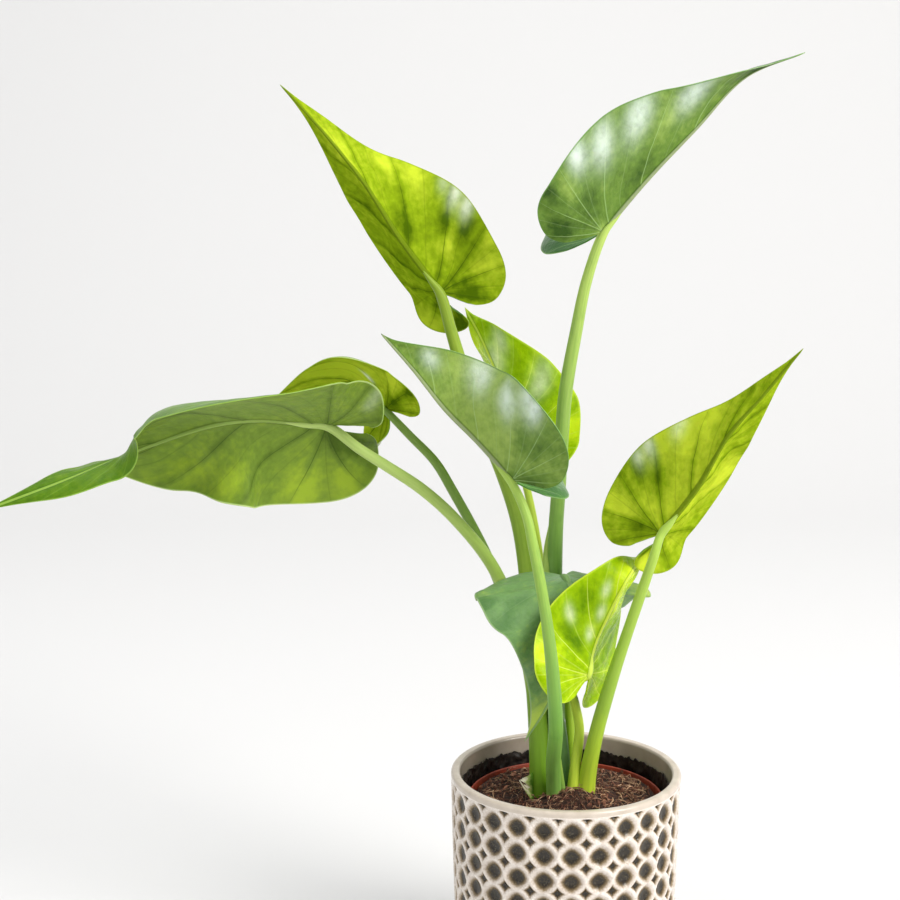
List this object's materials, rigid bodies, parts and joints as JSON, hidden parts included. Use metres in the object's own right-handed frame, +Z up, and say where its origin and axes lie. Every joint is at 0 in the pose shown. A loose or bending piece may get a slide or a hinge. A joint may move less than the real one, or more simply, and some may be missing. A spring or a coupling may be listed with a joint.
{
  "type": "potted chinese taro",
  "caption": "Young heart-leaved aroid on long upright stalks, rooted in coir in a thin nursery pot that stands inside a round glazed cachepot with a raised net pattern.",
  "frame": {"origin": "centre of the cachepot's flat underside", "axes": "+Z up, -Y towards the camera of the picture, +X to its right"},
  "size_m": [0.4401, 0.1828, 0.5234],
  "materials": {
    "glazed_ceramic": "glossy reactive glaze",
    "liner_film": "wrinkled film",
    "nursery_plastic": "matte",
    "coir": "loose fibre",
    "leaf_old": "satin",
    "leaf_mid": "satin",
    "leaf_lime": "glossy",
    "stalk_light": "satin",
    "stalk_dark": "satin"
  },
  "bodies": {
    "root": {"cachepot": "glazed_ceramic", "liner": "liner_film", "nursery_pot": "nursery_plastic", "soil": "coir", "blade_left_high": "leaf_mid", "stalk_left_high": "stalk_light", "blade_right_high": "leaf_old", "stalk_right_high": "stalk_dark", "blade_middle_back": "leaf_lime", "stalk_middle_back": "stalk_light", "blade_right_mid": "leaf_mid", "stalk_right_mid": "stalk_light", "blade_middle_front": "leaf_old", "stalk_middle_front": "stalk_dark", "blade_low_right": "leaf_lime", "stalk_low_right": "stalk_light", "blade_left_long": "leaf_mid", "stalk_left_long": "stalk_light", "blade_left_back": "leaf_mid", "stalk_left_back": "stalk_dark", "blade_low_middle": "leaf_old", "stalk_low_middle": "stalk_light"}
  },
  "joints": []
}
